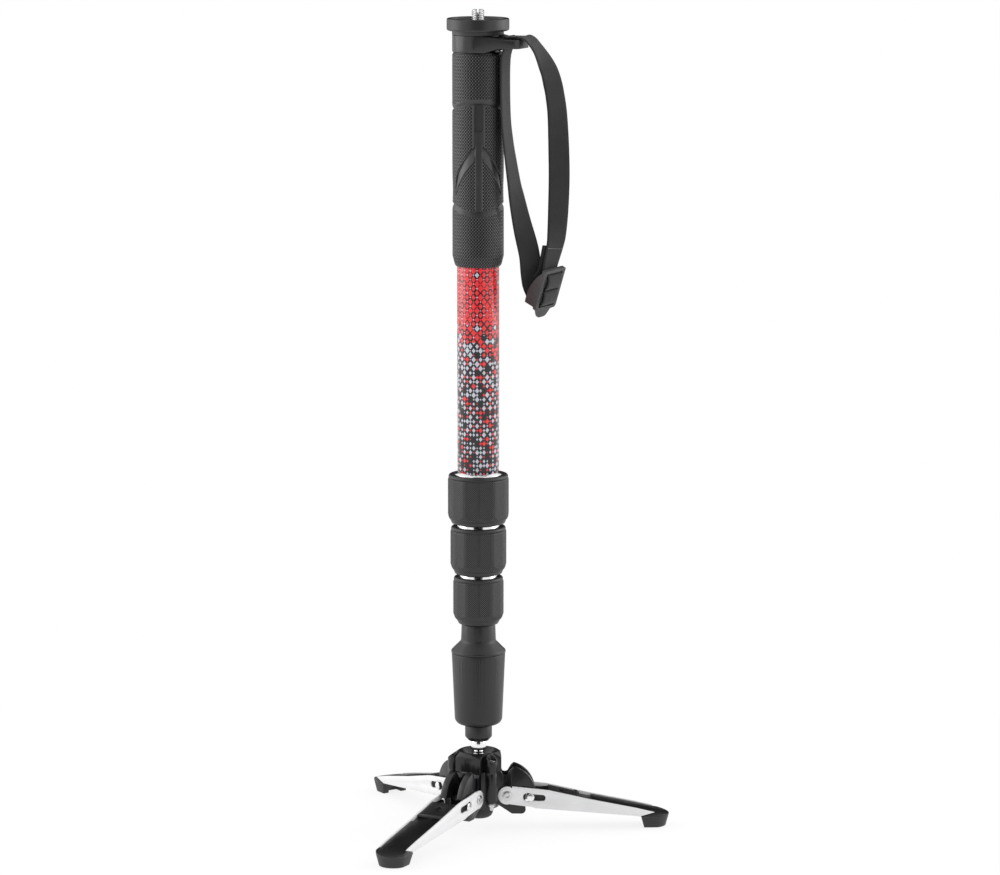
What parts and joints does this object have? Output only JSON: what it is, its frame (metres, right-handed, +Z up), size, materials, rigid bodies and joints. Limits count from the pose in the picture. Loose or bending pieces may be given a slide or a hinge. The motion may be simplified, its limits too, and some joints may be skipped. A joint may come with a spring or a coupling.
{
  "type": "camera monopod",
  "caption": "Telescoping camera monopod with twist locks, a rubber grip, a wrist strap, a tilting fluid base and small fold-up feet.",
  "frame": {"origin": "on the floor, on the column's axis, midway between the feet", "axes": "+Z up along the column, +X along leg 1, -Y towards the viewer of the reference view"},
  "size_m": [0.2146, 0.244, 0.5942],
  "materials": {
    "hub_plastic": "fine moulded texture, charcoal",
    "ball_seat": "smooth, low friction",
    "steel_fasteners": "bright zinc",
    "foot_rubber": "soft matt",
    "chrome_stem": "polished",
    "screw_steel": "turned, bright",
    "damper_alloy": "turned",
    "base_plastic": "smooth, charcoal",
    "base_housing": "fine powder coat, charcoal",
    "grip_rubber": "fine diamond texture with smooth bands",
    "head_alloy": "anodised",
    "plate_alloy": "satin, charcoal",
    "pad_rubber": "fine grain",
    "collar_plastic": "smooth",
    "webbing": "woven tape",
    "buckle_plastic": "smooth",
    "printed_tube": "black with a printed pattern of small red and grey motifs",
    "bare_tube": "black anodised",
    "guide_plastic": "smooth",
    "lock_chrome": "bright turned cone",
    "collet_plastic": "smooth",
    "lock_plastic": "smooth, charcoal",
    "lock_rubber": "broad facets with a fine diamond texture",
    "leg_plates": "satin silver",
    "leg_plastic": "fine moulded texture",
    "slider_plastic": "fine moulded texture",
    "stud_steel": "polished dome",
    "spring_steel": "drawn wire"
  },
  "bodies": {
    "hub": {"hub_body": "hub_plastic", "hub_cap": "hub_plastic", "hub_screws": "steel_fasteners", "hub_nuts": "steel_fasteners", "base_foot": "foot_rubber", "leg_pivot_pins": "steel_fasteners"},
    "ball_race": {"ball_race": "ball_seat"},
    "ball_stem": {"ball_stem": "chrome_stem", "damper_drum": "damper_alloy", "stem_nut": "steel_fasteners"},
    "base": {"nose_bush": "base_plastic", "pan_housing": "base_housing", "shaft_bearings": "ball_seat", "pan_cap": "base_plastic", "tube_4": "bare_tube", "tube_4_guide": "guide_plastic"},
    "section_3": {"tube_3": "bare_tube", "tube_3_guide": "guide_plastic", "lock_3_sleeve": "lock_chrome", "lock_3_collet": "collet_plastic"},
    "section_2": {"tube_2": "bare_tube", "tube_2_guide": "guide_plastic", "lock_2_sleeve": "lock_chrome", "lock_2_collet": "collet_plastic"},
    "section_1": {"tube_1": "printed_tube", "lock_1_sleeve": "lock_chrome", "lock_1_collet": "collet_plastic", "grip": "grip_rubber", "head_core": "head_alloy", "top_plate": "plate_alloy", "top_pad": "pad_rubber", "camera_screw": "screw_steel"},
    "strap": {"strap_collar": "collar_plastic", "strap_webbing": "webbing", "strap_buckle": "buckle_plastic"},
    "lock_1_turn": {"lock_1_nut": "lock_plastic", "lock_1_grip": "lock_rubber"},
    "lock_2_turn": {"lock_2_nut": "lock_plastic", "lock_2_grip": "lock_rubber"},
    "lock_3_turn": {"lock_3_nut": "lock_plastic", "lock_3_grip": "lock_rubber"},
    "leg_1": {"leg_1_side_plates": "leg_plates", "leg_1_cover": "leg_plastic", "leg_1_foot": "foot_rubber", "leg_1_spring": "spring_steel"},
    "leg_1_lock": {"leg_1_slider": "slider_plastic", "leg_1_studs": "stud_steel"},
    "leg_2": {"leg_2_side_plates": "leg_plates", "leg_2_cover": "leg_plastic", "leg_2_foot": "foot_rubber", "leg_2_spring": "spring_steel"},
    "leg_2_lock": {"leg_2_slider": "slider_plastic", "leg_2_studs": "stud_steel"},
    "leg_3": {"leg_3_side_plates": "leg_plates", "leg_3_cover": "leg_plastic", "leg_3_foot": "foot_rubber", "leg_3_spring": "spring_steel"},
    "leg_3_lock": {"leg_3_slider": "slider_plastic", "leg_3_studs": "stud_steel"}
  },
  "joints": [
    {"name": "ball_swivel", "type": "hinge", "parent": "hub", "child": "ball_race", "pos_m": [0, 0, 0.046], "axis": [0, 0, 1], "continuous": true},
    {"name": "ball_tilt", "type": "hinge", "parent": "ball_race", "child": "ball_stem", "pos_m": [0, 0, 0.046], "axis": [1, 0, 0], "range_deg": [0, 20]},
    {"name": "pan", "type": "hinge", "parent": "ball_stem", "child": "base", "pos_m": [0, 0, 0.0766], "axis": [0, 0, 1], "continuous": true},
    {"name": "section_3_slide", "type": "slide", "parent": "base", "child": "section_3", "axis": [0, 0, 1], "range_m": [0, 0.344]},
    {"name": "section_2_slide", "type": "slide", "parent": "section_3", "child": "section_2", "axis": [0, 0, 1], "range_m": [0, 0.311]},
    {"name": "section_1_slide", "type": "slide", "parent": "section_2", "child": "section_1", "axis": [0, 0, 1], "range_m": [0, 0.279]},
    {"name": "lock_1_twist", "type": "hinge", "parent": "section_1", "child": "lock_1_turn", "pos_m": [0, 0, 0.225], "axis": [0, 0, 1], "range_deg": [0, 100]},
    {"name": "lock_2_twist", "type": "hinge", "parent": "section_2", "child": "lock_2_turn", "pos_m": [0, 0, 0.1881], "axis": [0, 0, 1], "range_deg": [0, 100]},
    {"name": "lock_3_twist", "type": "hinge", "parent": "section_3", "child": "lock_3_turn", "pos_m": [0, 0, 0.1513], "axis": [0, 0, 1], "range_deg": [0, 100]},
    {"name": "strap_swivel", "type": "hinge", "parent": "section_1", "child": "strap", "pos_m": [0, 0, 0.5645], "axis": [0, 0, 1], "continuous": true},
    {"name": "leg_1_fold", "type": "hinge", "parent": "hub", "child": "leg_1", "pos_m": [0.0204, 0, 0.0252], "axis": [0, 1, 0], "range_deg": [-90, 0]},
    {"name": "leg_2_fold", "type": "hinge", "parent": "hub", "child": "leg_2", "pos_m": [-0.0102, 0.01767, 0.0252], "axis": [-0.866, -0.5, 0], "range_deg": [-90, 0]},
    {"name": "leg_3_fold", "type": "hinge", "parent": "hub", "child": "leg_3", "pos_m": [-0.0102, -0.01767, 0.0252], "axis": [0.866, -0.5, 0], "range_deg": [-90, 0]},
    {"name": "leg_1_lock_slide", "type": "slide", "parent": "leg_1", "child": "leg_1_lock", "axis": [0.9966, 0, -0.0819], "range_m": [0, 0.008], "stiffness_N_per_m": 350, "springref_m": -0.004, "deforming": ["leg_1_spring"]},
    {"name": "leg_2_lock_slide", "type": "slide", "parent": "leg_2", "child": "leg_2_lock", "axis": [-0.4983, 0.8631, -0.0819], "range_m": [0, 0.008], "stiffness_N_per_m": 350, "springref_m": -0.004, "deforming": ["leg_2_spring"]},
    {"name": "leg_3_lock_slide", "type": "slide", "parent": "leg_3", "child": "leg_3_lock", "axis": [-0.4983, -0.8631, -0.0819], "range_m": [0, 0.008], "stiffness_N_per_m": 350, "springref_m": -0.004, "deforming": ["leg_3_spring"]}
  ]
}
